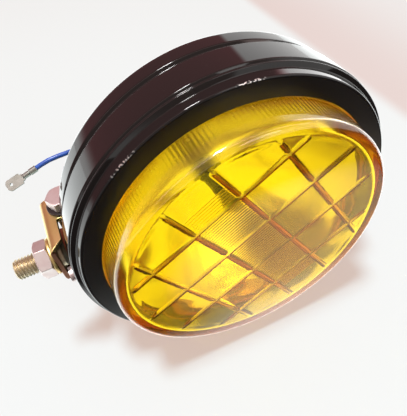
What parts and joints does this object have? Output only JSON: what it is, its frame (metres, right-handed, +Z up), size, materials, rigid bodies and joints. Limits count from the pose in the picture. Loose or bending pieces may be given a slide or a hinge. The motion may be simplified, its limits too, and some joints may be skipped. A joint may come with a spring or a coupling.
{
  "type": "fog light",
  "caption": "Round fog light with an amber drum lens in a black pressed steel body, tilting in a U-bracket that swivels on a threaded mounting stud.",
  "frame": {"origin": "on the axis of the mounting stud, at the lower face of its nut, where the stud's free end starts", "axes": "+Z up along the stud, -Y forward along the beam, +X to the lamp's left when it faces the reader"},
  "size_m": [0.1568, 0.117, 0.1844],
  "materials": {
    "black_paint": "gloss black stove enamel on pressed steel",
    "amber_glass": "pressed amber glass, fluted inside",
    "yellow_zinc": "yellow passivated zinc plate on steel",
    "pale_zinc": "pale zinc plate on steel",
    "black_washer": "black oxide on steel",
    "bare_steel": "plain bright steel",
    "mirror_metal": "aluminised pressed steel",
    "clear_glass": "clear bulb glass",
    "black_rubber": "moulded rubber",
    "brown_rubber": "moulded rubber, brown",
    "pale_plastic": "nylon",
    "blue_wire": "blue wire insulation",
    "tinned_brass": "tinned brass strip"
  },
  "bodies": {
    "mount_hardware": {"mounting_stud": "yellow_zinc", "mounting_nut": "pale_zinc", "mounting_washer": "yellow_zinc"},
    "bracket": {"u_bracket": "yellow_zinc", "pivot_bolt": "pale_zinc", "pivot_washers": "black_washer", "pivot_spring_washer": "pale_zinc", "pivot_nut": "pale_zinc"},
    "lamp": {"rear_housing": "black_paint", "housing_lug": "black_paint", "pivot_sleeve": "bare_steel", "front_rim": "black_paint", "rim_screws": "pale_zinc", "rim_nuts": "pale_zinc", "lens": "amber_glass", "lens_gasket": "brown_rubber", "reflector": "mirror_metal", "reflector_clips": "bare_steel", "bulb_carrier": "bare_steel", "bulb_base": "bare_steel", "bulb_glass": "clear_glass", "bulb_filament": "bare_steel", "bulb_clip": "bare_steel", "clip_screws": "bare_steel", "bulb_connector": "pale_plastic", "inner_lead": "blue_wire", "wire_grommet": "black_rubber", "supply_wire": "blue_wire", "spade_terminal": "tinned_brass"}
  },
  "joints": [
    {"name": "swivel", "type": "hinge", "parent": "mount_hardware", "child": "bracket", "pos_m": [0, 0, 0], "axis": [0, 0, 1], "continuous": true},
    {"name": "tilt", "type": "hinge", "parent": "bracket", "child": "lamp", "pos_m": [0, 0.0174, 0.01985], "axis": [-1, 0, 0], "range_deg": [-4, 25]}
  ]
}
